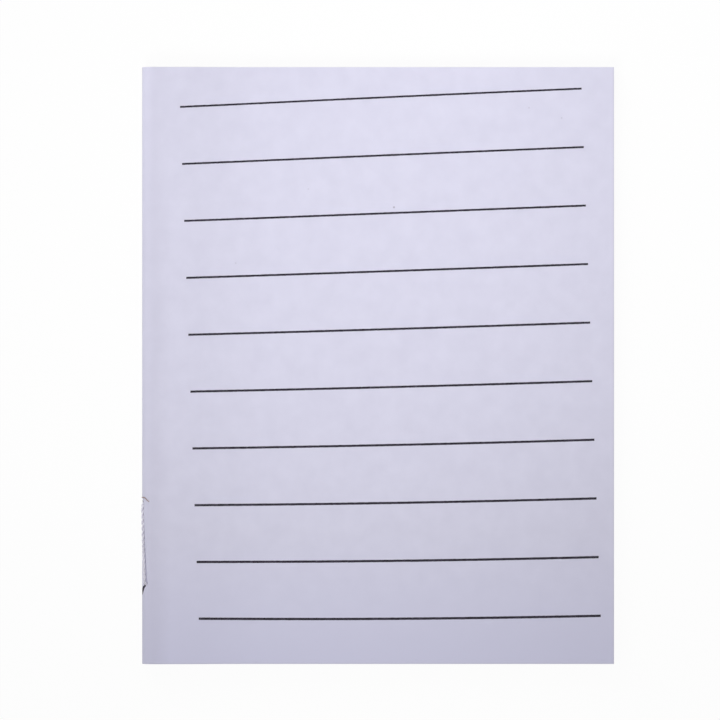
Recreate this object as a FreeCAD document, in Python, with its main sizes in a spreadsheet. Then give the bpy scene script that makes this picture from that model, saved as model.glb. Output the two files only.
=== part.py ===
import FreeCAD, Part
import math
import os

import Sketcher

# A pocket-size notebook: folded ruled sheets sewn through the fold into a card cover.
# It is opened at its middle spread and folded back on itself, so one ruled page lies on top, the
# fold with its sewing is at the left (-X), and the cover is folded inside between the two halves.
# Millimetres and degrees. X runs across the page, Y up the page and Z up. The origin is under the
# middle of the page, on the surface that the notebook lies on.

doc = FreeCAD.newDocument("MiniNotebook")

SIZES = {
    # Sheets and cover
    "page_width": 65.0,
    "page_height": 82.2,
    "sheet_count": 8,
    "sheet_thickness": 0.1,
    "cover_thickness": 0.25,
    "cover_slack": 0.03,        # between the sheets and the card
    "loop_radius": 0.45,        # inside the card's fold
    "fore_edge_air": 0.15,      # between the card's two leaves, away from the fold
    "ease_length": 14.0,        # over which the upper half comes down from the fold
    # Sewing
    "thread_diameter": 0.45,
    "thread_slack": 0.04,
    "thread_sink": 0.27,        # how far a tight stitch is pressed into the fold
    "thread_pull": 0.7,        # along the fold, from a hole's middle to the thread in it
    "straight_in_hole": 0.3,
    "tail_length": 2.5,
    "hole_length": 1.8,
    "hole_width": 0.6,
    "hole_spacing": 12.4,
    "first_hole": 10.3,        # from the page's foot
    "last_hole_room": 8.5,      # kept free at the page's head
    "first_hole_angle": 22.0,   # round the fold, up from its mid-height
    "first_thread_angle": 40.0, # the thread lies at the hole's upper end
    "settled_angle": -50.0,     # the angle that the row of holes runs out to
    "settling": 0.65,           # the share of the way left over at the second hole
    "settling_pace": 1.5,       # 1 is an even pace, and more gathers pace along the row
    # Printed ruling
    "line_pitch": 7.95,
    "line_width": 0.29,
    "ink_depth": 0.04,
    "foot_margin": 6.35,
    "head_margin": 3.5,
    "fold_margin": 7.8,
    "fore_edge_margin": 1.82,
    "margin_step": 0.29,        # each line starts this much nearer the fold than the one below
    "foot_line_tilt": 0.42,
    "line_tilt_step": 0.248,
}

# Sizes that follow from those. Depths are measured inwards from the folded sheets' outer face.
DERIVED = {
    "text_outside": "0",
    "ink_inside": "Sizes.ink_depth",
    "text_inside": "Sizes.sheet_count * Sizes.sheet_thickness",
    "card_outside": "Derived.text_inside + Sizes.cover_slack",
    "card_inside": "Derived.card_outside + Sizes.cover_thickness",
    "fold_radius": "Derived.card_inside + Sizes.loop_radius",
    "fold_x": "Derived.fold_radius - Sizes.page_width / 2",
    "flat_height": "2 * Derived.card_inside + Sizes.fore_edge_air",
    "ease_drop": "2 * Derived.fold_radius - Derived.flat_height",
    "ease_radius": "(Sizes.ease_length ^ 2 + Derived.ease_drop ^ 2) / (4 * Derived.ease_drop)",
    "stitch_outside": "Derived.fold_radius + Sizes.thread_diameter / 2 - Sizes.thread_sink",
    "knot_radius": "Sizes.loop_radius - 2 * Sizes.thread_slack",
    "stitch_inside": "Derived.knot_radius - Sizes.thread_diameter / 2",
    "thread_bend": "(Derived.stitch_outside - Derived.stitch_inside - Sizes.straight_in_hole) / 2",
    "line_length": "Sizes.page_width - Sizes.fold_margin - Sizes.fore_edge_margin",
}

UP = FreeCAD.Vector(0, 0, 1)
ALONG_FOLD = FreeCAD.Vector(0, 1, 0)
START, END, CENTRE = range(1, 4)        # how a sketch numbers the points of an edge
SLIGHT_TURN = math.radians(20)

sheet = doc.addObject("Spreadsheet::Sheet", "Sizes")
for row, (alias, value) in enumerate(SIZES.items(), start=1):
    sheet.set(f"A{row}", alias)
    sheet.set(f"B{row}", str(value))
    sheet.setAlias(f"B{row}", alias)
doc.recompute()

derived = doc.addObject("App::VarSet", "Derived")
for name, formula in DERIVED.items():
    derived.addProperty("App::PropertyFloat", name)
    derived.setExpression(name, formula)
    doc.recompute()


def size(name):
    return float(sheet.get(name))


# Folded sheets and card

def fold_curves(depth):
    """The five curves of a fold at one depth: underside, fold, shoulder, ease and top."""
    inward = getattr(derived, depth)
    fore_edge = size("page_width") / 2
    fold_x, radius, ease_radius = derived.fold_x, derived.fold_radius, derived.ease_radius
    ease_x = fold_x + size("ease_length")
    turn = 2 * math.atan(derived.ease_drop / size("ease_length"))
    up, down = math.pi / 2, 3 * math.pi / 2

    def line(x1, x2, z):
        return Part.LineSegment(FreeCAD.Vector(x1, z, 0), FreeCAD.Vector(x2, z, 0))

    def arc(x, z, arc_radius, first, last):
        circle = Part.Circle(FreeCAD.Vector(x, z, 0), UP, arc_radius)
        return Part.ArcOfCircle(circle, first, last)

    return [
        line(fore_edge, fold_x, inward),
        arc(fold_x, radius, radius - inward, up, down),
        arc(fold_x, 2 * radius - ease_radius, ease_radius - inward, up - turn, up),
        arc(ease_x, derived.flat_height + ease_radius, ease_radius + inward, down - turn, down),
        line(ease_x, fore_edge, derived.flat_height - inward),
    ]


def draw_fold(sketch, depth):
    """Draw and constrain a fold at one depth. Returns its two straight lines."""
    underside, fold, shoulder, ease, top = sketch.addGeometry(fold_curves(depth))

    def join(first, first_end, second, second_end):
        sketch.addConstraint(Sketcher.Constraint("Tangent", first, first_end, second, second_end))

    def bind(kind, *where, formula):
        value = float(sketch.evalExpression(formula))
        index = sketch.addConstraint(Sketcher.Constraint(kind, *where, value))
        sketch.setExpression(f"Constraints[{index}]", formula)

    join(underside, END, fold, END)
    join(fold, START, shoulder, END)
    join(shoulder, START, ease, START)
    join(ease, END, top, START)
    for line, end in ((underside, START), (top, END)):
        sketch.addConstraint(Sketcher.Constraint("Horizontal", line))
        bind("DistanceX", -1, START, line, end, formula="Sizes.page_width / 2")
    for arc in (fold, shoulder):
        bind("DistanceX", arc, CENTRE, -1, START, formula="-Derived.fold_x")
    bind("DistanceY", -1, START, fold, CENTRE, formula="Derived.fold_radius")
    bind("DistanceY", -1, START, ease, CENTRE,
         formula="Derived.flat_height + Derived.ease_radius")
    bind("Radius", fold, formula=f"Derived.fold_radius - Derived.{depth}")
    bind("Radius", shoulder, formula=f"Derived.ease_radius - Derived.{depth}")
    bind("Radius", ease, formula=f"Derived.ease_radius + Derived.{depth}")
    return underside, top


def folded_stack(name, outside, inside):
    """A folded stack that fills the space between two depths, as tall as the page."""
    body = doc.addObject("PartDesign::Body", name)
    upright = next(plane for plane in body.Origin.OriginFeatures if plane.Role == "XZ_Plane")
    section = body.newObject("Sketcher::SketchObject", f"{name}_section")
    section.AttachmentSupport = (upright, [""])
    section.MapMode = "FlatFace"
    outer_lines = draw_fold(section, outside)
    inner_lines = draw_fold(section, inside)
    for outer, inner, end in zip(outer_lines, inner_lines, (START, END)):
        corners = [section.getPoint(outer, end), section.getPoint(inner, end)]
        edge = section.addGeometry(Part.LineSegment(*corners))
        section.addConstraint(Sketcher.Constraint("Coincident", outer, end, edge, START))
        section.addConstraint(Sketcher.Constraint("Coincident", inner, end, edge, END))
    pad = body.newObject("PartDesign::Pad", f"{name}_pad")
    pad.Profile = section
    pad.SideType = "Symmetric"
    pad.setExpression("Length", "Sizes.page_height")
    return body


# Sewing

def hole_count():
    """An even number of holes, so that both ends of the thread are inside the card's fold."""
    room = size("page_height") - size("first_hole") - size("last_hole_room")
    return 2 * int((room / size("hole_spacing") + 1) / 2)


def settled_from(first_angle, hole):
    """An angle round the fold that starts high at the first hole and settles along the row."""
    settled = size("settled_angle")
    left_over = size("settling") ** hole ** size("settling_pace")
    return settled + (first_angle - settled) * left_over


def hole_angle(hole):
    return settled_from(size("first_hole_angle"), hole)


def thread_angle(hole):
    return settled_from(size("first_thread_angle"), hole)


def hole_height(hole):
    return size("first_hole") + hole * size("hole_spacing") - size("page_height") / 2


def thread_height(hole):
    """The stitches outside pull the thread to one end of each hole."""
    return hole_height(hole) + size("thread_pull") * (1 if hole % 2 == 0 else -1)


def outward(angle):
    return FreeCAD.Vector(-math.cos(math.radians(angle)), 0, math.sin(math.radians(angle)))


def fold_point(angle, height, radius):
    """A point this far from the fold's axis."""
    return FreeCAD.Vector(derived.fold_x, height, derived.fold_radius) + outward(angle) * radius


def thread_at(hole, radius):
    return fold_point(thread_angle(hole), thread_height(hole), radius)


def stitch_middle(hole):
    """The middle of the stitch outside that begins at this hole, where it bends over the fold."""
    angle = (thread_angle(hole) + thread_angle(hole + 1)) / 2
    height = (thread_height(hole) + thread_height(hole + 1)) / 2
    return fold_point(angle, height, derived.stitch_outside)


def stitch_corners():
    """The corners of a running stitch, from a tail in the card's fold to another at its far end."""
    outside, inside = derived.stitch_outside, derived.stitch_inside
    last = hole_count() - 1
    tail = ALONG_FOLD * size("tail_length")
    corners = [thread_at(0, 0) - tail, thread_at(0, 0)]
    for hole in range(0, hole_count(), 2):
        if hole > 0:
            corners.append(thread_at(hole, inside))
        corners += [thread_at(hole, outside), stitch_middle(hole), thread_at(hole + 1, outside)]
        if hole + 1 < last:
            corners.append(thread_at(hole + 1, inside))
    return corners + [thread_at(last, 0), thread_at(last, 0) + tail]


def setback(half_turn, shorter_run):
    """How far from its corner an arc begins. A slight turn is spread along its runs."""
    if half_turn > SLIGHT_TURN:
        return derived.thread_bend * math.tan(half_turn)
    return 0.45 * shorter_run


def rounded_wire(corners):
    """Straight runs between the corners, with a tangent arc at each one."""
    edges, run_start = [], corners[0]
    for before, corner, after in zip(corners, corners[1:], corners[2:]):
        back, on = before - corner, after - corner
        half_turn = (math.pi - back.getAngle(on)) / 2
        reach = setback(half_turn, min(back.Length, on.Length))
        back.normalize()
        on.normalize()
        arc_start, arc_end = corner + back * reach, corner + on * reach
        to_arc = reach / math.sin(half_turn) * (1 - math.cos(half_turn))
        arc_middle = corner + (back + on).normalize() * to_arc
        edges.append(Part.LineSegment(run_start, arc_start).toShape())
        edges.append(Part.Arc(arc_start, arc_middle, arc_end).toShape())
        run_start = arc_end
    edges.append(Part.LineSegment(run_start, corners[-1]).toShape())
    return Part.Wire(edges)


def tube(name, route, radius_formula):
    """A round tube that follows a route."""
    section = doc.addObject("Part::Circle", f"{name}_section")
    section.setExpression("Radius", radius_formula)
    start, following = [vertex.Point for vertex in route.Shape.OrderedVertexes[:2]]
    section.Placement = FreeCAD.Placement(start, FreeCAD.Rotation(UP, following - start))
    sweep = doc.addObject("Part::Sweep", name)
    sweep.Sections = [section]
    sweep.Spine = (route, [f"Edge{number}" for number in range(1, len(route.Shape.Edges) + 1)])
    sweep.Solid = True
    return sweep


def needle_hole(hole):
    """A hole from the fold's axis out through card and sheets, drawn long by the thread's pull."""
    oval = doc.addObject("Part::Ellipse", f"needle_oval_{hole}")
    oval.setExpression("MajorRadius", "Sizes.hole_length / 2")
    oval.setExpression("MinorRadius", "Sizes.hole_width / 2")
    angle, height = hole_angle(hole), hole_height(hole)
    way = outward(angle)
    pull = thread_at(hole, derived.fold_radius) - fold_point(angle, height, derived.fold_radius)
    oval.Placement = FreeCAD.Placement(
        fold_point(angle, height, 0),
        FreeCAD.Rotation(pull, way.cross(pull), way, "ZXY"))
    prism = doc.addObject("Part::Extrusion", f"needle_hole_{hole}")
    prism.Base = oval
    prism.DirMode = "Custom"
    prism.Dir = way
    prism.Solid = True
    prism.setExpression("LengthFwd", "2 * Derived.fold_radius")
    return prism


def knot(name, hole):
    """A knot that fills the card's fold and stops the thread at its end hole."""
    ball = doc.addObject("Part::Sphere", name)
    ball.setExpression("Radius", "Derived.knot_radius")
    ball.Placement.Base = thread_at(hole, 0)
    return ball


# Printed ruling

def line_count():
    """As many lines as the page has room for."""
    room = size("page_height") - size("foot_margin") - size("head_margin")
    return int(room / size("line_pitch")) + 1


def ruling_bars(name, facing_up):
    """Upright bars through one half of the stack, each with the outline of a printed line."""
    side = 1 if facing_up else -1
    length, width = derived.line_length, size("line_width")
    first_x = size("fold_margin") + (length - size("page_width")) / 2
    first_y = size("foot_margin") - size("page_height") / 2
    middle_z = derived.flat_height / 2
    floor = middle_z if facing_up else middle_z - 2 * derived.fold_radius
    bars = []
    for line in range(line_count()):
        x = side * (first_x - line * size("margin_step"))
        y = first_y + line * size("line_pitch")
        tilt = side * (size("foot_line_tilt") + line * size("line_tilt_step"))
        bar = doc.addObject("Part::Box", f"{name}_line_{line}")
        bar.setExpression("Length", "Derived.line_length")
        bar.setExpression("Width", "Sizes.line_width")
        bar.setExpression("Height", "2 * Derived.fold_radius")
        bar.Placement = FreeCAD.Placement(
            FreeCAD.Vector(x - length / 2, y - width / 2, floor),
            FreeCAD.Rotation(UP, tilt),
            FreeCAD.Vector(length / 2, width / 2, 0))
        bars.append(bar)
    return group(f"{name}_lines", bars)


# The notebook

def group(name, members):
    compound = doc.addObject("Part::Compound", name)
    compound.Links = members
    return compound


def combine(kind, name, base, tool):
    result = doc.addObject(kind, name)
    result.Base = base
    result.Tool = tool
    return result


def make_ruling():
    """Ink lies flush in the paper, so it is the outermost skin of the sheets under each bar."""
    skin = folded_stack("ink_skin", "text_outside", "ink_inside")
    right = combine("Part::Common", "right_page_ruling", skin, ruling_bars("right", True))
    left = combine("Part::Common", "left_page_ruling", skin, ruling_bars("left", False))
    return right, left


def make_sewing():
    """The thread with its knots, the needle holes, and the channel that the thread presses."""
    route = doc.addObject("Part::Feature", "thread_route")
    route.Shape = rounded_wire(stitch_corners())
    channel = tube("thread_channel", route, "Sizes.thread_diameter / 2 + Sizes.thread_slack")
    thread = doc.addObject("Part::MultiFuse", "sewing_thread")
    thread.Shapes = [tube("thread_run", route, "Sizes.thread_diameter / 2"),
                     knot("first_knot", 0), knot("last_knot", hole_count() - 1)]
    holes = group("needle_holes", [needle_hole(hole) for hole in range(hole_count())])
    return thread, holes, channel


def make_notebook():
    """The five sub-parts."""
    right_ruling, left_ruling = make_ruling()
    thread, holes, channel = make_sewing()
    text = folded_stack("text_block", "text_outside", "text_inside")
    pricked_text = combine("Part::Cut", "pricked_text", text, holes)
    sewn_text = combine("Part::Cut", "sewn_text", pricked_text, channel)
    ink = group("ink", [right_ruling, left_ruling])
    pages = combine("Part::Cut", "pages", sewn_text, ink)
    card = folded_stack("card", "card_outside", "card_inside")
    pricked_card = combine("Part::Cut", "pricked_card", card, holes)
    cover = combine("Part::Cut", "cover", pricked_card, channel)
    doc.recompute()
    return pages, cover, thread, right_ruling, left_ruling


def check(subparts):
    for item in doc.Objects:
        if {"Invalid", "Error"} & set(item.State):
            raise RuntimeError(f"{item.Label} failed: {item.State}")
    for subpart in subparts:
        if subpart.Shape.isNull() or not subpart.Shape.isValid():
            raise RuntimeError(f"{subpart.Label} has no valid shape")


notebook = make_notebook()
check(notebook)
os.makedirs("parts", exist_ok=True)
for subpart in notebook:
    subpart.Shape.exportStep(f"parts/{subpart.Label}.step")
    print(subpart.Label, len(subpart.Shape.Solids), "solids", round(subpart.Shape.Volume, 3), "mm3")
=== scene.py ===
import math

import bmesh
import bpy
from mathutils import Matrix, Vector, noise


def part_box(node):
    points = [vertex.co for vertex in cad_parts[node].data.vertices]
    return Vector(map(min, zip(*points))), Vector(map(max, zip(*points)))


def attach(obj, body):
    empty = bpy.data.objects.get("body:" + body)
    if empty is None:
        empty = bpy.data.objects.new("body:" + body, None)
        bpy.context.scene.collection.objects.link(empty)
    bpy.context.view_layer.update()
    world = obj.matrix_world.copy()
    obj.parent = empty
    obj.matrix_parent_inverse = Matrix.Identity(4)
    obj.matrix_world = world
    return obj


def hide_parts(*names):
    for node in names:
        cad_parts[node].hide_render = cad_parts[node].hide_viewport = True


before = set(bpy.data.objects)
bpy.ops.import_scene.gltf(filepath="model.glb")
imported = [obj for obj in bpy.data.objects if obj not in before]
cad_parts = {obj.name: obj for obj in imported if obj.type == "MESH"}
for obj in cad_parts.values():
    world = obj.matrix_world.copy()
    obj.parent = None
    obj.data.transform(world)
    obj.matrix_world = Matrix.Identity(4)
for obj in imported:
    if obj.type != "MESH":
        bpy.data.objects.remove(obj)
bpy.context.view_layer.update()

# ---------------------------------------------------------------------------------------------
# Sheets. Eight sheets of smooth lilac-white writing paper, folded once and nested into each
# other. They were cut together, so their edges are nearly flush. The needle pricked six slits
# through all of them along the fold, and each stitch outside presses its own bed into it.
# ---------------------------------------------------------------------------------------------

MM = 0.001
PAGES_LOW, PAGES_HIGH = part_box("pages")
INK_DEPTH = 0.04 * MM
FLAT_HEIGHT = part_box("right_page_ruling")[0].z + INK_DEPTH
FOLD_RADIUS = PAGES_HIGH.z / 2
FORE_EDGE = PAGES_HIGH.x
HALF_HEIGHT = PAGES_HIGH.y
FOLD_X = PAGES_LOW.x + FOLD_RADIUS
EASE_LENGTH = 14 * MM                   # over which the upper half comes down from the fold
EASE_X = FOLD_X + EASE_LENGTH
EASE_DROP = PAGES_HIGH.z - FLAT_HEIGHT
EASE_RADIUS = (EASE_LENGTH ** 2 + EASE_DROP ** 2) / (4 * EASE_DROP)
EASE_TURN = 2 * math.atan(EASE_DROP / EASE_LENGTH)
QUARTER_TURN = math.pi / 2

TEXT_DEPTH = 0.8 * MM
STITCH_DENT = 0.24 * MM                 # a tight stitch presses its own bed into the fold
NEEDLE_DENT = 0.12 * MM                 # and draws the paper in where it enters a hole
DENT_HALF_WIDTH = 0.33 * MM
DENT_RUN_OUT = 0.42 * MM
DENT_REACH = 3 * DENT_RUN_OUT           # past a stitch's end, where its dent has faded out

UPPER_WAVE = 0.07 * MM                  # how much the leaves wave where they lie loose
LOWER_WAVE = 0.03 * MM
LOWER_RAISE = 0.6                       # keeps most of the lower wave above the table
WAVE_ACROSS = 38 * MM
WAVE_UP = 30 * MM
UPPER_WAVE_PLACE = 1.7                  # where in the noise the waves are read
LOWER_WAVE_PLACE = 5.2

HOLE_SPACING = 12.4 * MM
HOLE_COUNT = 6
HOLE_LENGTH = 1.8 * MM
HOLE_WIDTH = 0.6 * MM
THREAD_PULL = 0.7 * MM                  # along the fold, from a hole's middle to the thread in it
TAIL_LENGTH = 2.5 * MM
FIRST_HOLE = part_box("sewing_thread")[0].y + TAIL_LENGTH - THREAD_PULL
FIRST_HOLE_ANGLE = math.radians(22)
FIRST_THREAD_ANGLE = math.radians(40)   # the thread lies at the hole's upper end
SETTLED_ANGLE = math.radians(-50)
SETTLING = 0.65                         # the share of the way left over at the second hole
SETTLING_PACE = 1.5                     # 1 is an even pace, and more gathers pace along the row


def hole_height(hole):
    return FIRST_HOLE + hole * HOLE_SPACING


def settled_from(first_angle, hole):
    """An angle round the fold that starts high at the first hole and settles along the row."""
    return SETTLED_ANGLE + (first_angle - SETTLED_ANGLE) * SETTLING ** hole ** SETTLING_PACE


def hole_angle(hole):
    return settled_from(FIRST_HOLE_ANGLE, hole)


def thread_angle(hole):
    return settled_from(FIRST_THREAD_ANGLE, hole)


def thread_height(hole):
    return hole_height(hole) + (THREAD_PULL if hole % 2 == 0 else -THREAD_PULL)


def bump(distance, half_width):
    return math.exp(-(distance / half_width) ** 2)


def dent(along, height):
    """How deep the nearest stitch has pressed the outermost sheet in, at one place."""
    for hole in range(0, HOLE_COUNT, 2):
        low, high = thread_height(hole), thread_height(hole + 1)
        nearest = min(max(height, low), high)
        if abs(height - nearest) > DENT_REACH:
            continue
        share = (nearest - low) / (high - low)
        angle = thread_angle(hole) + share * (thread_angle(hole + 1) - thread_angle(hole))
        aside = bump(along - angle * FOLD_RADIUS, DENT_HALF_WIDTH)
        at_holes = bump(nearest - low, DENT_RUN_OUT) + bump(nearest - high, DENT_RUN_OUT)
        depth = STITCH_DENT + NEEDLE_DENT * at_holes
        return depth * aside * bump(height - nearest, DENT_RUN_OUT)
    return 0.0


def lift(x, height, above):
    """The slight unevenness of leaves that lie loose on each other."""
    loose = min(max((x - FOLD_X) / (FORE_EDGE - FOLD_X), 0.0), 1.0)
    place = UPPER_WAVE_PLACE if above else LOWER_WAVE_PLACE
    wave = noise.noise(Vector((x / WAVE_ACROSS, height / WAVE_UP, place)))
    if above:
        return UPPER_WAVE * loose * wave
    return LOWER_WAVE * loose * (wave + LOWER_RAISE)


def fold_place(angle, height, radius):
    """A place at some distance from the fold's axis, at an angle up from its mid-height."""
    x = FOLD_X - radius * math.cos(angle)
    return Vector((x, height, FOLD_RADIUS + radius * math.sin(angle)))


def upper_length(depth):
    """How far a layer reaches from the middle of the fold to the fore-edge of the upper half."""
    flat = FORE_EDGE - EASE_X
    return (FOLD_RADIUS - depth) * QUARTER_TURN + 2 * EASE_RADIUS * EASE_TURN + flat


def lower_length(depth):
    return (FOLD_RADIUS - depth) * QUARTER_TURN + FORE_EDGE - FOLD_X


def folded(along, height, depth):
    """Where a point of the flat stack comes to lie in the folded notebook.

    A depth is measured inwards from the outermost sheet's outer face. "along" is measured on a
    layer from the middle of the fold: forwards over the top, and backwards along the underside.
    """
    if depth < TEXT_DEPTH:
        depth += dent(along, height) * (1 - depth / TEXT_DEPTH)
    bend = FOLD_RADIUS - depth
    quarter = (FOLD_RADIUS - max(depth, 0)) * QUARTER_TURN
    if abs(along) <= quarter:
        angle = along / quarter * QUARTER_TURN
        return fold_place(angle, height, bend)
    if along < 0:
        x = FOLD_X - along - quarter
        return Vector((x, height, depth + max(lift(x, height, False), 0.0)))
    shoulder = (EASE_RADIUS - depth) * EASE_TURN
    ease = (EASE_RADIUS + depth) * EASE_TURN
    rest = along - quarter
    if rest <= shoulder:
        angle = rest / (EASE_RADIUS - depth)
        x = FOLD_X + (EASE_RADIUS - depth) * math.sin(angle)
        z = PAGES_HIGH.z - EASE_RADIUS + (EASE_RADIUS - depth) * math.cos(angle)
    elif rest <= shoulder + ease:
        angle = EASE_TURN - (rest - shoulder) / (EASE_RADIUS + depth)
        x = EASE_X - (EASE_RADIUS + depth) * math.sin(angle)
        z = FLAT_HEIGHT + EASE_RADIUS - (EASE_RADIUS + depth) * math.cos(angle)
    else:
        x = EASE_X + rest - shoulder - ease
        z = FLAT_HEIGHT - depth
    return Vector((x, height, z + lift(x, height, True)))


SHEET_COUNT = 8
SHEET_PITCH = TEXT_DEPTH / SHEET_COUNT
SHEET_AIR = 0.012 * MM
SHEET_COLUMNS = 116
SHEET_ROWS = 220
FINE_SHARE = 0.1                        # the columns' spacing at the fold, against an even one
CUT_SPREAD = 0.07 * MM                  # how unevenly the sheets' edges lie
SIDE_CUT_STEP = 1.37                    # how far apart in the noise two sheets' edges are read
HEAD_CUT_STEP = 1.71
SHARP_ANGLE = math.radians(55)
THREAD_ROOM = 0.27 * MM                 # the radius that the thread has pulled each hole's end to
SLIT_TAPER = 0.75                       # how much narrower than an oval a hole is at that end
PRISM_MIDDLE = 0.6 * FOLD_RADIUS        # how far from the fold's axis the middle of a cut lies
PRISM_SIDES = 36
EDGE_SHADE_WIDTH = 0.2 * MM                 # the strip along an edge that is painted grey as shade
EDGE_SHADE_AMOUNT = 0.5                      # how grey it is, from 0 to 1
FOLD_SHADE_WIDTH = 4 * MM                    # and the wider strip of painted shade along the fold
FOLD_SHADE_AT_HEAD = 0.15
FOLD_SHADE_AT_FOOT = 0.46
FOLD_SHADE_FULL_FROM = 0.4 * HALF_HEIGHT         # below this it is as grey as at the foot
FOOT_COOL_LIGHT_REACH = 18 * MM                     # the page is painted a trace bluer over this much at its foot, as the cooler light there

PAPER_COLOUR = (0.697, 0.687, 0.828, 1)
PAPER_SHADE = (0.665, 0.655, 0.794, 1)
# the grey of the painted shade along the fold and the edges
PAINTED_SHADE_COLOUR = (0.5, 0.49, 0.6, 1)
FOOT_COOL_LIGHT_COLOUR = (0.69, 0.685, 0.865, 1)
FLECK_COLOUR = (0.3, 0.28, 0.36, 1)
# painted shade on the walls of the slits and thread holes
SLIT_SHADE_COLOUR = (0.06, 0.055, 0.075, 1)
SLIT_SHADE_FIBRE_COLOUR = (0.12, 0.11, 0.145, 1)
SPECKS = (                              # x, y and size in millimetres, and how dark
    (2.2, 21.8, 0.19, 0.75),
    (25.3, 34.1, 0.15, 0.35),
    (20.8, 35.5, 0.15, 0.3),
    (-19.6, 14.1, 0.17, 0.3),
    (-9.6, 24.3, 0.15, 0.25),
)
SPECK_CORE = 0.3                        # the share of a speck's width that is fully dark
MOST_NOISE = (0.3, 0.7)                 # the range in which most of a noise's values lie


def layer(name, columns, rows):
    """A flat unit slab: x from -1 to 1 along it, y from -1 to 1 up it, z from 0 down to -1."""
    mesh = bmesh.new()
    bmesh.ops.create_grid(mesh, x_segments=columns, y_segments=rows, size=1)
    inner = bmesh.ops.extrude_face_region(mesh, geom=mesh.faces[:], use_keep_orig=True)
    inner_points = [item for item in inner["geom"] if isinstance(item, bmesh.types.BMVert)]
    bmesh.ops.translate(mesh, verts=inner_points, vec=(0, 0, -1))
    bmesh.ops.recalc_face_normals(mesh, faces=mesh.faces[:])
    return mesh


def fold_layer(mesh, outside, inside, fore_edge_cut, height):
    """Bend a unit slab round the fold, to fill the space between two depths."""
    for point in mesh.verts:
        depth = outside - point.co.z * (inside - outside)
        spread = abs(point.co.x)
        share = FINE_SHARE * spread + (1 - FINE_SHARE) * spread ** 3
        if point.co.x > 0:
            along = share * (upper_length(depth) - fore_edge_cut)
        else:
            along = -share * (lower_length(depth) - fore_edge_cut)
        point.co = folded(along, point.co.y * height, depth)


def mark_sharp_edges(mesh):
    for edge in mesh.edges:
        edge.smooth = edge.is_manifold and edge.calc_face_angle() < SHARP_ANGLE


def finished(name, mesh, material):
    """Turn a bmesh into an object at the origin, smooth but for its sharp edges."""
    data = bpy.data.meshes.new(name)
    for face in mesh.faces:
        face.smooth = True
    mark_sharp_edges(mesh)
    mesh.to_mesh(data)
    mesh.free()
    data.materials.append(material)
    piece = bpy.data.objects.new(name, data)
    bpy.context.scene.collection.objects.link(piece)
    return piece


def prisms(name, angle_at, height_at, half_width, half_length, taper):
    """Oval prisms out through every layer. Each is long, and tapers, the way its thread pulls."""
    mesh = bmesh.new()
    for hole in range(HOLE_COUNT):
        angle = angle_at(hole)
        way = Vector((-math.cos(angle), 0, math.sin(angle)))
        thread = fold_place(thread_angle(hole), thread_height(hole), FOLD_RADIUS)
        pull = thread - fold_place(hole_angle(hole), hole_height(hole), FOLD_RADIUS)
        pull = (pull - way * pull.dot(way)).normalized()
        turn = Matrix((pull.cross(way), pull, way)).transposed().to_4x4()
        place = Matrix.Translation(fold_place(angle, height_at(hole), PRISM_MIDDLE))
        made = bmesh.ops.create_cone(
            mesh, cap_ends=True, segments=PRISM_SIDES, radius1=1, radius2=1, depth=1)
        for point in made["verts"]:
            point.co.x *= (1 - taper * point.co.y) * half_width
            point.co.y *= half_length
            point.co.z *= FOLD_RADIUS
            point.co = place @ turn @ point.co
    # the cutters carry the painted shade onto the walls that they cut
    return finished(name, mesh, slit_painted_shade)


def cut_through(piece, cutters):
    """Cut the needle holes through a layer and keep the result as its mesh."""
    for cutter in cutters:
        cut = piece.modifiers.new(cutter.name, "BOOLEAN")
        cut.object = cutter
        cut.operation = "DIFFERENCE"
        cut.solver = "MANIFOLD"
        cut.material_mode = "TRANSFER"
    uncut = piece.data
    evaluated = piece.evaluated_get(bpy.context.evaluated_depsgraph_get())
    piece.data = bpy.data.meshes.new_from_object(evaluated)
    piece.modifiers.clear()
    if len(piece.data.polygons) < len(uncut.polygons):
        raise RuntimeError(f"cutting the needle holes lost most of {piece.name}")
    bpy.data.meshes.remove(uncut)
    mesh = bmesh.new()
    mesh.from_mesh(piece.data)
    mark_sharp_edges(mesh)
    mesh.to_mesh(piece.data)
    mesh.free()


def group_with(name, inputs, outputs):
    """A shader node group with these sockets, and its input and output nodes."""
    tree = bpy.data.node_groups.new(name, "ShaderNodeTree")
    for socket, kind, value in inputs:
        made = tree.interface.new_socket(socket, in_out="INPUT", socket_type=kind)
        made.default_value = value
    for socket, kind in outputs:
        tree.interface.new_socket(socket, in_out="OUTPUT", socket_type=kind)
    return tree, tree.nodes.new("NodeGroupInput"), tree.nodes.new("NodeGroupOutput")


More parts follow.
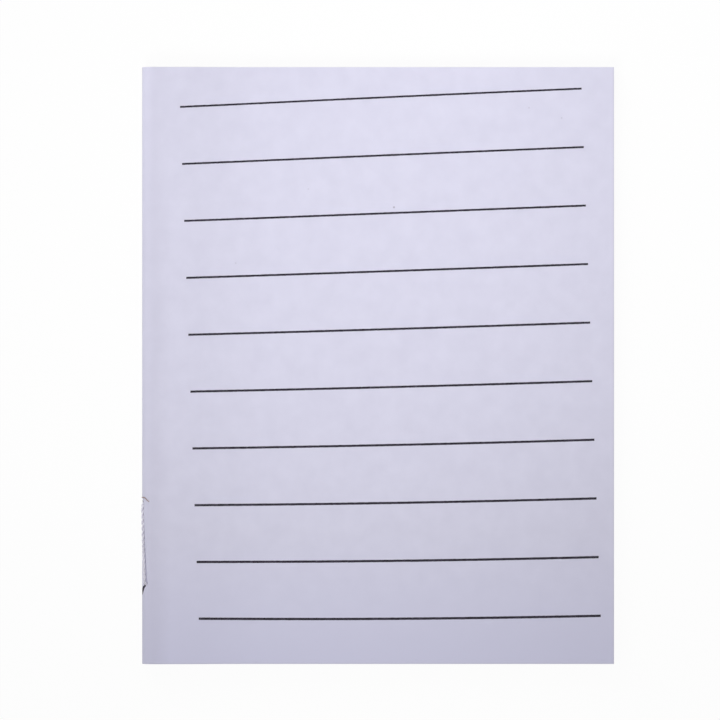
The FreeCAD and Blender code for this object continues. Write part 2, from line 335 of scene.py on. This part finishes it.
def pulp_group():
    """The look of pressed pulp: cloudy formation, matted fibres and stray flecks."""
    tree, given, made = group_with(
        "pressed_pulp",
        [("Fibre size", "NodeSocketFloat", 0.0001),
         ("Cloud size", "NodeSocketFloat", 0.003),
         ("Fleck size", "NodeSocketFloat", 0.0001),
         ("Fleck room", "NodeSocketFloat", 0.01)],
        [("Clouds", "NodeSocketFloat"),
         ("Fibres", "NodeSocketFloat"),
         ("Flecks", "NodeSocketFloat")])
    nodes, links = tree.nodes, tree.links
    place = nodes.new("ShaderNodeTexCoord")

    def inverse(socket):
        divide = nodes.new("ShaderNodeMath")
        divide.operation = "DIVIDE"
        divide.inputs[0].default_value = 1
        links.new(given.outputs[socket], divide.inputs[1])
        return divide.outputs["Value"]

    clouds = nodes.new("ShaderNodeTexNoise")
    clouds.inputs["Detail"].default_value = 3
    links.new(place.outputs["Object"], clouds.inputs["Vector"])
    links.new(inverse("Cloud size"), clouds.inputs["Scale"])
    links.new(clouds.outputs["Fac"], made.inputs["Clouds"])

    fibres = nodes.new("ShaderNodeTexNoise")
    fibres.inputs["Detail"].default_value = 4
    fibres.inputs["Roughness"].default_value = 0.65
    fibres.inputs["Distortion"].default_value = 1.6
    links.new(place.outputs["Object"], fibres.inputs["Vector"])
    links.new(inverse("Fibre size"), fibres.inputs["Scale"])
    links.new(fibres.outputs["Fac"], made.inputs["Fibres"])

    rooms = nodes.new("ShaderNodeTexVoronoi")
    rooms.feature = "F1"
    links.new(place.outputs["Object"], rooms.inputs["Vector"])
    links.new(inverse("Fleck room"), rooms.inputs["Scale"])
    reach = nodes.new("ShaderNodeMath")
    reach.operation = "MULTIPLY"
    links.new(rooms.outputs["Distance"], reach.inputs[0])
    links.new(given.outputs["Fleck room"], reach.inputs[1])
    inside = nodes.new("ShaderNodeMath")
    inside.operation = "LESS_THAN"
    links.new(reach.outputs["Value"], inside.inputs[0])
    links.new(given.outputs["Fleck size"], inside.inputs[1])
    links.new(inside.outputs["Value"], made.inputs["Flecks"])
    return tree


pressed_pulp = pulp_group()


def new_material(name):
    material = bpy.data.materials.new(name)
    material.use_nodes = True
    nodes, links = material.node_tree.nodes, material.node_tree.links
    return material, nodes, links, nodes["Principled BSDF"]


def add_pulp(nodes, fibre_size, cloud_size, fleck_size, fleck_room):
    pulp = nodes.new("ShaderNodeGroup")
    pulp.node_tree = pressed_pulp
    pulp.inputs["Fibre size"].default_value = fibre_size
    pulp.inputs["Cloud size"].default_value = cloud_size
    pulp.inputs["Fleck size"].default_value = fleck_size
    pulp.inputs["Fleck room"].default_value = fleck_room
    return pulp


def blend(nodes, links, amount, first, second):
    """Mix two colours, each one a colour or a socket."""
    mix = nodes.new("ShaderNodeMix")
    mix.data_type = "RGBA"
    if isinstance(amount, float):
        mix.inputs["Factor"].default_value = amount
    else:
        links.new(amount, mix.inputs["Factor"])
    for socket, colour in (("A", first), ("B", second)):
        target = next(s for s in mix.inputs if s.name == socket and s.type == "RGBA")
        if isinstance(colour, tuple):
            target.default_value = colour
        else:
            links.new(colour, target)
    return next(s for s in mix.outputs if s.type == "RGBA")


def add_bump(nodes, links, shader, height, distance, strength):
    relief = nodes.new("ShaderNodeBump")
    relief.inputs["Strength"].default_value = strength
    relief.inputs["Distance"].default_value = distance
    links.new(height, relief.inputs["Height"])
    links.new(relief.outputs["Normal"], shader.inputs["Normal"])


def spread(nodes, links, value, low, high, to_low=0.0, to_high=1.0):
    """Stretch the part of a value between low and high over another range."""
    remap = nodes.new("ShaderNodeMapRange")
    remap.inputs["From Min"].default_value = low
    remap.inputs["From Max"].default_value = high
    remap.inputs["To Min"].default_value = to_low
    remap.inputs["To Max"].default_value = to_high
    links.new(value, remap.inputs["Value"])
    return remap.outputs["Result"]


def place_parts(nodes, links):
    """Where on the notebook a point is, whole and as its x, y and z."""
    place = nodes.new("ShaderNodeTexCoord")
    parts = nodes.new("ShaderNodeSeparateXYZ")
    links.new(place.outputs["Object"], parts.inputs["Vector"])
    return place.outputs["Object"], parts


def product(nodes, links, first, second):
    times = nodes.new("ShaderNodeMath")
    times.operation = "MULTIPLY"
    for socket, value in zip(times.inputs, (first, second)):
        if isinstance(value, float):
            socket.default_value = value
        else:
            links.new(value, socket)
    return times.outputs["Value"]


def add_specks(nodes, links, place, tone):
    """Single dark specks in the top sheet, at their own places."""
    for x, y, width, darkness in SPECKS:
        away = nodes.new("ShaderNodeVectorMath")
        away.operation = "DISTANCE"
        away.inputs[1].default_value = (x * MM, y * MM, FLAT_HEIGHT)
        links.new(place, away.inputs[0])
        core = SPECK_CORE * width * MM
        dark = spread(nodes, links, away.outputs["Value"], width * MM, core, to_high=darkness)
        tone = blend(nodes, links, dark, tone, FLECK_COLOUR)
    return tone


def paper_material():
    material, nodes, links, shader = new_material("writing_paper")
    pulp = add_pulp(nodes, fibre_size=0.09 * MM, cloud_size=2.6 * MM,
                    fleck_size=0.1 * MM, fleck_room=14 * MM)
    place, parts = place_parts(nodes, links)
    clouds = spread(nodes, links, pulp.outputs["Clouds"], *MOST_NOISE)
    tone = blend(nodes, links, clouds, PAPER_SHADE, PAPER_COLOUR)
    # Painted light: the foot is a trace bluer, for the cooler light that falls there.
    foot = spread(nodes, links, parts.outputs["Y"], FOOT_COOL_LIGHT_REACH - HALF_HEIGHT, -HALF_HEIGHT)
    tone = blend(nodes, links, foot, tone, FOOT_COOL_LIGHT_COLOUR)
    tone = blend(nodes, links, pulp.outputs["Flecks"], tone, FLECK_COLOUR)
    tone = add_specks(nodes, links, place, tone)
    left = PAGES_LOW.x
    # Painted shade: a grey band along the fold, greyer towards the foot, for the shade where the
    # fold turns down.
    fold_shade = spread(nodes, links, parts.outputs["X"], left + FOLD_SHADE_WIDTH, left)
    towards_foot = spread(nodes, links, parts.outputs["Y"], HALF_HEIGHT, FOLD_SHADE_FULL_FROM,
                          to_low=FOLD_SHADE_AT_HEAD, to_high=FOLD_SHADE_AT_FOOT)
    tone = blend(nodes, links, product(nodes, links, fold_shade, towards_foot), tone, PAINTED_SHADE_COLOUR)
    # Painted shade: thin grey strips along the fold, the fore-edge and the foot, where the page's
    # edges darken.
    for axis, edge, inwards in (("X", left, 1), ("X", FORE_EDGE, -1), ("Y", -HALF_HEIGHT, 1)):
        strip = spread(nodes, links, parts.outputs[axis], edge + inwards * EDGE_SHADE_WIDTH, edge,
                       to_high=EDGE_SHADE_AMOUNT)
        tone = blend(nodes, links, strip, tone, PAINTED_SHADE_COLOUR)
    links.new(tone, shader.inputs["Base Color"])
    rough = spread(nodes, links, pulp.outputs["Fibres"], *MOST_NOISE, to_low=0.72, to_high=0.86)
    links.new(rough, shader.inputs["Roughness"])
    shader.inputs["Specular IOR Level"].default_value = 0.25
    add_bump(nodes, links, shader, pulp.outputs["Fibres"], distance=0.004 * MM, strength=0.6)
    return material


def slit_shade_material():
    """Painted shade: the walls of the slits, near black for the deep shade inside them."""
    material, nodes, links, shader = new_material("slit_painted_shade")
    pulp = add_pulp(nodes, fibre_size=0.05 * MM, cloud_size=0.2 * MM,
                    fleck_size=0.0, fleck_room=2 * MM)
    matted = spread(nodes, links, pulp.outputs["Fibres"], 0.35, 0.7)
    tone = blend(nodes, links, matted, SLIT_SHADE_COLOUR, SLIT_SHADE_FIBRE_COLOUR)
    links.new(tone, shader.inputs["Base Color"])
    rough = spread(nodes, links, pulp.outputs["Clouds"], *MOST_NOISE, to_low=0.85, to_high=0.98)
    links.new(rough, shader.inputs["Roughness"])
    shader.inputs["Specular IOR Level"].default_value = 0.1
    add_bump(nodes, links, shader, pulp.outputs["Fibres"], distance=0.02 * MM, strength=0.8)
    return material


paper = paper_material()
slit_painted_shade = slit_shade_material()
needle_holes = [
    prisms("needle_slits", hole_angle, hole_height, HOLE_WIDTH / 2, HOLE_LENGTH / 2, SLIT_TAPER),
    prisms("thread_ends", thread_angle, thread_height, THREAD_ROOM, THREAD_ROOM, 0),
]
for number in range(SHEET_COUNT):
    mesh = layer("sheet", SHEET_COLUMNS, SHEET_ROWS)
    side_noise = noise.noise(Vector((number * SIDE_CUT_STEP, 0.5, 0.2)))
    head_noise = noise.noise(Vector((0.3, number * HEAD_CUT_STEP, 0.8)))
    cut_back = CUT_SPREAD * abs(side_noise) * (number > 0)
    trimmed = CUT_SPREAD * abs(head_noise) * (number > 0)
    outside = number * SHEET_PITCH
    fold_layer(mesh, outside, outside + SHEET_PITCH - SHEET_AIR, cut_back, HALF_HEIGHT - trimmed)
    sheet = finished(f"sheet_{number + 1}", mesh, paper)
    cut_through(sheet, needle_holes)
    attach(sheet, "root")
    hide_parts("pages")

# ---------------------------------------------------------------------------------------------
# Ruling. Ten lines of black ink, printed on each page of the outermost sheet before it was
# folded. The print sits askew: each line rises to the right a little more than the one below,
# starts a little further left, and sags less.
# ---------------------------------------------------------------------------------------------

LINE_COUNT = 10
LINE_PITCH = 7.947 * MM
FOOT_MARGIN = 6.44 * MM
FOLD_MARGIN = 7.8 * MM
FORE_EDGE_MARGIN = 1.82 * MM
MARGIN_STEP = 0.29 * MM
FOOT_TILT = math.radians(0.4)
TILT_STEP = math.radians(0.29)
TILT_EASING = math.radians(-0.0045)     # the tilt grows a little less from line to line
FOOT_LINE_WIDTH = 0.335 * MM
WIDTH_STEP = -0.0078 * MM
FOOT_SAG = 0.215 * MM
SAG_STEP = -0.03 * MM
INK_STANDS = 0.004 * MM                 # how far the ink lies over the paper's face
INK_SINKS = 0.02 * MM
RAGGED_EDGE = 0.02 * MM
RAGGED_RUN = 0.22 * MM
RAGGED_SIDE_STEP = 20                   # how far apart in the noise a line's two edges are read
RAGGED_UNDERSIDE = 50                   # and the two pages
LINE_COLUMNS = 300

INK_COLOUR = (0.014, 0.011, 0.02, 1)
THIN_INK_COLOUR = (0.045, 0.036, 0.06, 1)


def ink_material():
    material, nodes, links, shader = new_material("printing_ink")
    pulp = add_pulp(nodes, fibre_size=0.12 * MM, cloud_size=0.7 * MM,
                    fleck_size=0.0, fleck_room=9 * MM)
    thin = spread(nodes, links, pulp.outputs["Clouds"], 0.45, 0.75)
    tone = blend(nodes, links, thin, INK_COLOUR, THIN_INK_COLOUR)
    links.new(tone, shader.inputs["Base Color"])
    rough = spread(nodes, links, pulp.outputs["Fibres"], *MOST_NOISE, to_low=0.5, to_high=0.75)
    links.new(rough, shader.inputs["Roughness"])
    shader.inputs["Specular IOR Level"].default_value = 0.3
    add_bump(nodes, links, shader, pulp.outputs["Fibres"], distance=0.004 * MM, strength=0.6)
    return material


def ragged(x, seed):
    return RAGGED_EDGE * noise.noise(Vector((x / RAGGED_RUN, seed, 0.4)))


def add_line(mesh, line, above):
    """One printed line, drawn on the flat page and then folded with it."""
    length = FORE_EDGE - PAGES_LOW.x - FOLD_MARGIN - FORE_EDGE_MARGIN
    middle_x = PAGES_LOW.x + FOLD_MARGIN + length / 2 - line * MARGIN_STEP
    middle_y = FOOT_MARGIN - HALF_HEIGHT + line * LINE_PITCH
    tilt = FOOT_TILT + line * TILT_STEP + line ** 2 * TILT_EASING
    width = FOOT_LINE_WIDTH + line * WIDTH_STEP
    sag = FOOT_SAG + line * SAG_STEP
    slab = layer("line", LINE_COLUMNS, 1)
    for point in slab.verts:
        run = point.co.x * length / 2
        seed = line + point.co.y * RAGGED_SIDE_STEP + (0 if above else RAGGED_UNDERSIDE)
        aside = point.co.y * width / 2 + ragged(run, seed)
        x = middle_x + run * math.cos(tilt) - aside * math.sin(tilt)
        y = middle_y + run * math.sin(tilt) + aside * math.cos(tilt) - sag * (1 - point.co.x ** 2)
        depth = -INK_STANDS - point.co.z * (INK_STANDS + INK_SINKS)
        if above:
            along = upper_length(0) - (FORE_EDGE - x)
        else:
            along = -(lower_length(0) - (FORE_EDGE - x))
        point.co = folded(along, y, depth)
    if not above:
        bmesh.ops.reverse_faces(slab, faces=slab.faces[:])
    data = bpy.data.meshes.new("line")
    slab.to_mesh(data)
    slab.free()
    mesh.from_mesh(data)
    bpy.data.meshes.remove(data)


ink = ink_material()
for name, above in (("right_page_ruling", True), ("left_page_ruling", False)):
    mesh = bmesh.new()
    for line in range(LINE_COUNT):
        add_line(mesh, line, above)
    bmesh.ops.recalc_face_normals(mesh, faces=mesh.faces[:])
    ruling = finished(f"{name}_ink", mesh, ink)
    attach(ruling, "root")
    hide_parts(name)

# ---------------------------------------------------------------------------------------------
# Cover. One piece of brown kraft card, folded with the sheets. The notebook is turned back on
# itself, so the card is inside, and shows only at its edges.
# ---------------------------------------------------------------------------------------------

CARD_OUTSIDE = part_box("cover")[0].z
CARD_THICKNESS = 0.25 * MM
CARD_INSIDE = CARD_OUTSIDE + CARD_THICKNESS
CARD_CUT_BACK = 0.03 * MM

KRAFT_COLOUR = (0.42, 0.29, 0.18, 1)
KRAFT_DARK = (0.27, 0.175, 0.1, 1)
KRAFT_FLECK = (0.16, 0.095, 0.05, 1)


def kraft_material():
    material, nodes, links, shader = new_material("kraft_card")
    pulp = add_pulp(nodes, fibre_size=0.16 * MM, cloud_size=1.5 * MM,
                    fleck_size=0.12 * MM, fleck_room=1.6 * MM)
    matted = spread(nodes, links, pulp.outputs["Fibres"], 0.35, 0.7)
    tone = blend(nodes, links, matted, KRAFT_DARK, KRAFT_COLOUR)
    tone = blend(nodes, links, pulp.outputs["Flecks"], tone, KRAFT_FLECK)
    links.new(tone, shader.inputs["Base Color"])
    rough = spread(nodes, links, pulp.outputs["Clouds"], *MOST_NOISE, to_low=0.8, to_high=0.95)
    links.new(rough, shader.inputs["Roughness"])
    shader.inputs["Specular IOR Level"].default_value = 0.2
    add_bump(nodes, links, shader, pulp.outputs["Fibres"], distance=0.02 * MM, strength=0.8)
    return material


kraft = kraft_material()
mesh = layer("cover", SHEET_COLUMNS, SHEET_ROWS)
fold_layer(mesh, CARD_OUTSIDE, CARD_INSIDE, CARD_CUT_BACK, HALF_HEIGHT - CARD_CUT_BACK)
cover = finished("cover_card", mesh, kraft)
cut_through(cover, needle_holes)
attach(cover, "root")
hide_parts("cover")
for cutter in needle_holes:
    bpy.data.objects.remove(cutter)

# ---------------------------------------------------------------------------------------------
# Sewing. One length of white two-ply thread, in running stitch: outside between the first and
# second hole, inside to the third, and so on, with a knot inside the card's fold at each end.
# ---------------------------------------------------------------------------------------------

THREAD_RADIUS = 0.225 * MM
THREAD_SINK = 0.27 * MM
LOOP_RADIUS = 0.45 * MM
THREAD_SLACK = 0.04 * MM
THREAD_LEAN = 1.2                       # how far it leans in a hole, as a share of its pull
STITCH_OUTSIDE = FOLD_RADIUS + THREAD_RADIUS - THREAD_SINK
KNOT_RADIUS = LOOP_RADIUS - 2 * THREAD_SLACK
STITCH_INSIDE = KNOT_RADIUS - THREAD_RADIUS
CORNER_RUN = 0.7 * MM
PLY_COUNT = 2
PLY_RADIUS = 0.118 * MM
PLY_OFFSET = 0.112 * MM
PLY_LEAD = 1.66 * MM
PLY_STEP = 0.09 * MM
TAIL_START = 0.3                        # the share of a tail that runs straight from its hole
ROUTE_STEPS = 24
FILAMENT_WIDTH = 0.035 * MM
FILAMENT_STRETCH = 0.16                 # their width against their length, along the fold

THREAD_COLOUR = (0.87, 0.86, 0.93, 1)
THREAD_SHADE = (0.56, 0.54, 0.63, 1)


def thread_at(hole, radius):
    """The thread in a hole, which leans from the hole's pulled end outside to its other end."""
    lean = THREAD_LEAN * (1 - radius / STITCH_OUTSIDE)
    height = thread_height(hole) + lean * (hole_height(hole) - thread_height(hole))
    return fold_place(thread_angle(hole), height, radius)


def tail_end(hole, way):
    return fold_place(0, thread_height(hole) + way * TAIL_LENGTH, 0)


def stitch_run(first, second, radius):
    """A stitch between two holes, with a point close to each hole so that it stays straight."""
    start, end = thread_at(first, radius), thread_at(second, radius)
    way = (end - start).normalized()
    angle = (thread_angle(first) + thread_angle(second)) / 2
    middle = fold_place(angle, (start.y + end.y) / 2, radius)
    return [start, start + way * CORNER_RUN, middle, end - way * CORNER_RUN, end]


def thread_route():
    last = HOLE_COUNT - 1
    tail = Vector((0, TAIL_LENGTH, 0)) * TAIL_START
    points = [tail_end(0, -1), thread_at(0, 0) - tail, thread_at(0, 0)]
    for hole in range(last):
        if hole % 2 == 0:
            points += stitch_run(hole, hole + 1, STITCH_OUTSIDE)
        else:
            points += stitch_run(hole, hole + 1, STITCH_INSIDE)
    return points + [thread_at(last, 0), thread_at(last, 0) + tail, tail_end(last, 1)]


def curve_mesh(name, lines, radius, roundness):
    """Round strands that follow lines of points, as one mesh."""
    curve = bpy.data.curves.new(name, "CURVE")
    curve.dimensions = "3D"
    curve.bevel_depth = radius
    curve.bevel_resolution = roundness
    curve.use_fill_caps = True
    for points in lines:
        spline = curve.splines.new("POLY")
        spline.points.add(len(points) - 1)
        for target, point in zip(spline.points, points):
            target.co = (*point, 1)
    holder = bpy.data.objects.new(name, curve)
    mesh = bmesh.new()
    data = bpy.data.meshes.new_from_object(holder)
    mesh.from_mesh(data)
    bpy.data.objects.remove(holder)
    bpy.data.meshes.remove(data)
    bpy.data.curves.remove(curve)
    return mesh


def smooth_line(name, points):
    """The points along one smooth curve through a route."""
    curve = bpy.data.curves.new(name, "CURVE")
    curve.dimensions = "3D"
    curve.resolution_u = ROUTE_STEPS
    spline = curve.splines.new("NURBS")
    spline.points.add(len(points) - 1)
    for target, point in zip(spline.points, points):
        target.co = (*point, 1)
    spline.order_u = 3
    spline.use_endpoint_u = True
    holder = bpy.data.objects.new(name, curve)
    data = bpy.data.meshes.new_from_object(holder)
    line = [vertex.co.copy() for vertex in data.vertices]
    bpy.data.objects.remove(holder)
    bpy.data.meshes.remove(data)
    bpy.data.curves.remove(curve)
    return line


def even_steps(line, step):
    """Points at even steps along a line, each with the line's direction there."""
    found, rest = [], 0.0
    for start, end in zip(line, line[1:]):
        run = (end - start).length
        if run == 0:
            continue
        way = (end - start) / run
        while rest <= run:
            found.append((start + way * rest, way))
            rest += step
        rest -= run
    return found


def twisted_plies(line):
    """Helices about a line. The side that they start from is carried along without twist."""
    plies = [[] for _ in range(PLY_COUNT)]
    side = Vector((1, 0, 0))
    for number, (point, way) in enumerate(even_steps(line, PLY_STEP)):
        side = (side - way * side.dot(way)).normalized()
        other = way.cross(side)
        for ply in range(PLY_COUNT):
            turn = 2 * math.pi * (number * PLY_STEP / PLY_LEAD + ply / PLY_COUNT)
            offset = side * math.cos(turn) + other * math.sin(turn)
            plies[ply].append(point + offset * PLY_OFFSET)
    return plies


def thread_material():
    material, nodes, links, shader = new_material("twisted_thread")
    place = nodes.new("ShaderNodeTexCoord")
    stretch = nodes.new("ShaderNodeMapping")
    stretch.inputs["Scale"].default_value = (1, FILAMENT_STRETCH, 1)
    links.new(place.outputs["Object"], stretch.inputs["Vector"])
    filaments = nodes.new("ShaderNodeTexNoise")
    filaments.inputs["Scale"].default_value = 1 / FILAMENT_WIDTH
    filaments.inputs["Detail"].default_value = 3
    links.new(stretch.outputs["Vector"], filaments.inputs["Vector"])
    streaks = spread(nodes, links, filaments.outputs["Fac"], 0.35, 0.65)
    tone = blend(nodes, links, streaks, THREAD_SHADE, THREAD_COLOUR)
    links.new(tone, shader.inputs["Base Color"])
    rough = spread(nodes, links, filaments.outputs["Fac"], *MOST_NOISE, to_low=0.55, to_high=0.75)
    links.new(rough, shader.inputs["Roughness"])
    shader.inputs["Sheen Weight"].default_value = 0.15
    add_bump(nodes, links, shader, filaments.outputs["Fac"], distance=0.02 * MM, strength=0.7)
    return material


cotton = thread_material()
thread_line = smooth_line("thread_line", thread_route())
mesh = curve_mesh("thread", twisted_plies(thread_line), PLY_RADIUS, roundness=3)
for hole in (0, HOLE_COUNT - 1):
    place = Matrix.Translation(thread_at(hole, 0))
    bmesh.ops.create_icosphere(mesh, subdivisions=3, radius=KNOT_RADIUS, matrix=place)
thread = finished("sewing_thread_plies", mesh, cotton)
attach(thread, "root")
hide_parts("sewing_thread")

# ---------------------------------------------------------------------------------------------
# Stray fibre. The needle pulled one tan fibre of the kraft card out through the second hole. It
# lies over the fold and onto the ruled page.
# ---------------------------------------------------------------------------------------------

FIBRE_RADIUS = 0.062 * MM
FIBRE_LINE = (                          # degrees up round the fold, mm above the hole, mm off
    (-2, 0.18, -0.2),
    (2, 0.23, 0.06),
    (18, 0.24, 0.05),
    (35, 0.23, 0.05),
    (48, 0.15, 0.05),
    (56, -0.06, 0.05),
    (63, -0.24, 0.06),
    (70, -0.32, 0.05),
)

FIBRE_COLOUR = (0.4, 0.3, 0.27, 1)
FIBRE_SHADE = (0.3, 0.21, 0.18, 1)


def fibre_material():
    material, nodes, links, shader = new_material("kraft_fibre")
    pulp = add_pulp(nodes, fibre_size=0.06 * MM, cloud_size=0.5 * MM,
                    fleck_size=0.0, fleck_room=2 * MM)
    matted = spread(nodes, links, pulp.outputs["Fibres"], 0.35, 0.65)
    tone = blend(nodes, links, matted, FIBRE_SHADE, FIBRE_COLOUR)
    links.new(tone, shader.inputs["Base Color"])
    rough = spread(nodes, links, pulp.outputs["Clouds"], *MOST_NOISE, to_low=0.75, to_high=0.9)
    links.new(rough, shader.inputs["Roughness"])
    add_bump(nodes, links, shader, pulp.outputs["Fibres"], distance=0.01 * MM, strength=0.6)
    return material


fibre_points = [
    fold_place(math.radians(angle), hole_height(1) + up * MM, FOLD_RADIUS + off * MM)
    for angle, up, off in FIBRE_LINE
]
fibre_line = smooth_line("fibre_line", fibre_points)
mesh = curve_mesh("fibre", [fibre_line], FIBRE_RADIUS, roundness=2)
fibre = finished("kraft_fibre", mesh, fibre_material())
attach(fibre, "root")

# ---------------------------------------------------------------------------------------------
# Table, light and camera. The notebook lies on a plain white table in even daylight. One soft
# lamp stands beyond its head at the left and a small one low at its foot, and the camera looks
# straight down on it.
# ---------------------------------------------------------------------------------------------

FLOOR_DROP = 0.02 * MM
FLOOR_SIZE = 3.0
FLOOR_COLOUR = (0.9, 0.9, 0.9, 1)
FLOOR_WHITE = 0.95                      # the share of plain white over it, which thins shadows
DAYLIGHT = 0.49
LAMPS = (                               # name, place, aim, width, power and angle of spread
    ("foot_lamp", (-0.043, -0.056, 0.14), (0.011, 0.044, 0), 0.12, 0.0197, 40),
    ("head_lamp", (-0.228, 0.312, 0.226), (0, 0, 0), 0.2, 0.587, 180),
)
CAMERA_LENS = 300
CAMERA_SENSOR = 36
FRAME_WIDTH = 99.17 * MM
CAMERA_AIM = (-2.48 * MM, 0.76 * MM)


def lamp(name, place, aim, size, power, spread_angle):
    light = bpy.data.lights.new(name, "AREA")
    light.shape = "DISK"
    light.size = size
    light.energy = power
    light.spread = math.radians(spread_angle)
    holder = bpy.data.objects.new(name, light)
    holder.location = place
    holder.rotation_mode = "QUATERNION"
    holder.rotation_quaternion = (Vector(aim) - Vector(place)).to_track_quat("-Z", "Y")
    holder.visible_camera = False
    bpy.context.scene.collection.objects.link(holder)


def white_for_the_camera(nodes, links, surface, output, share):
    """Mix plain white into what the camera, mirrors and glass see of a surface."""
    path = nodes.new("ShaderNodeLightPath")
    seen = path.outputs["Is Camera Ray"]
    for ray in ("Is Glossy Ray", "Is Transmission Ray"):
        either = nodes.new("ShaderNodeMath")
        either.operation = "MAXIMUM"
        links.new(seen, either.inputs[0])
        links.new(path.outputs[ray], either.inputs[1])
        seen = either.outputs["Value"]
    scaled = nodes.new("ShaderNodeMath")
    scaled.operation = "MULTIPLY"
    scaled.inputs[1].default_value = share
    links.new(seen, scaled.inputs[0])
    white = nodes.new("ShaderNodeEmission")
    white.inputs["Strength"].default_value = 1
    mix = nodes.new("ShaderNodeMixShader")
    links.new(scaled.outputs["Value"], mix.inputs["Fac"])
    links.new(surface, mix.inputs[1])
    links.new(white.outputs["Emission"], mix.inputs[2])
    links.new(mix.outputs["Shader"], output.inputs["Surface"])


mesh = bmesh.new()
bmesh.ops.create_grid(mesh, x_segments=1, y_segments=1, size=FLOOR_SIZE / 2,
                      matrix=Matrix.Translation((0, 0, -FLOOR_DROP)))
table, nodes, links, shader = new_material("white_table")
shader.inputs["Base Color"].default_value = FLOOR_COLOUR
shader.inputs["Roughness"].default_value = 0.9
shader.inputs["Specular IOR Level"].default_value = 0.1
white_for_the_camera(nodes, links, shader.outputs["BSDF"], nodes["Material Output"], FLOOR_WHITE)
floor = finished("table_top", mesh, table)

for settings in LAMPS:
    lamp(*settings)

world = bpy.data.worlds.new("studio")
bpy.context.scene.world = world
world.use_nodes = True
nodes, links = world.node_tree.nodes, world.node_tree.links
fill = nodes["Background"]
fill.inputs["Color"].default_value = (1, 1, 1, 1)
fill.inputs["Strength"].default_value = DAYLIGHT
white_for_the_camera(nodes, links, fill.outputs["Background"], nodes["World Output"], 1.0)

camera = bpy.data.cameras.new("camera")
camera.lens = CAMERA_LENS
camera.sensor_width = CAMERA_SENSOR
camera_object = bpy.data.objects.new("camera", camera)
distance = FRAME_WIDTH * CAMERA_LENS / CAMERA_SENSOR
camera_object.location = (*CAMERA_AIM, FLAT_HEIGHT + distance)
bpy.context.scene.collection.objects.link(camera_object)
bpy.context.scene.camera = camera_object

bpy.context.scene.view_settings.view_transform = "Standard"
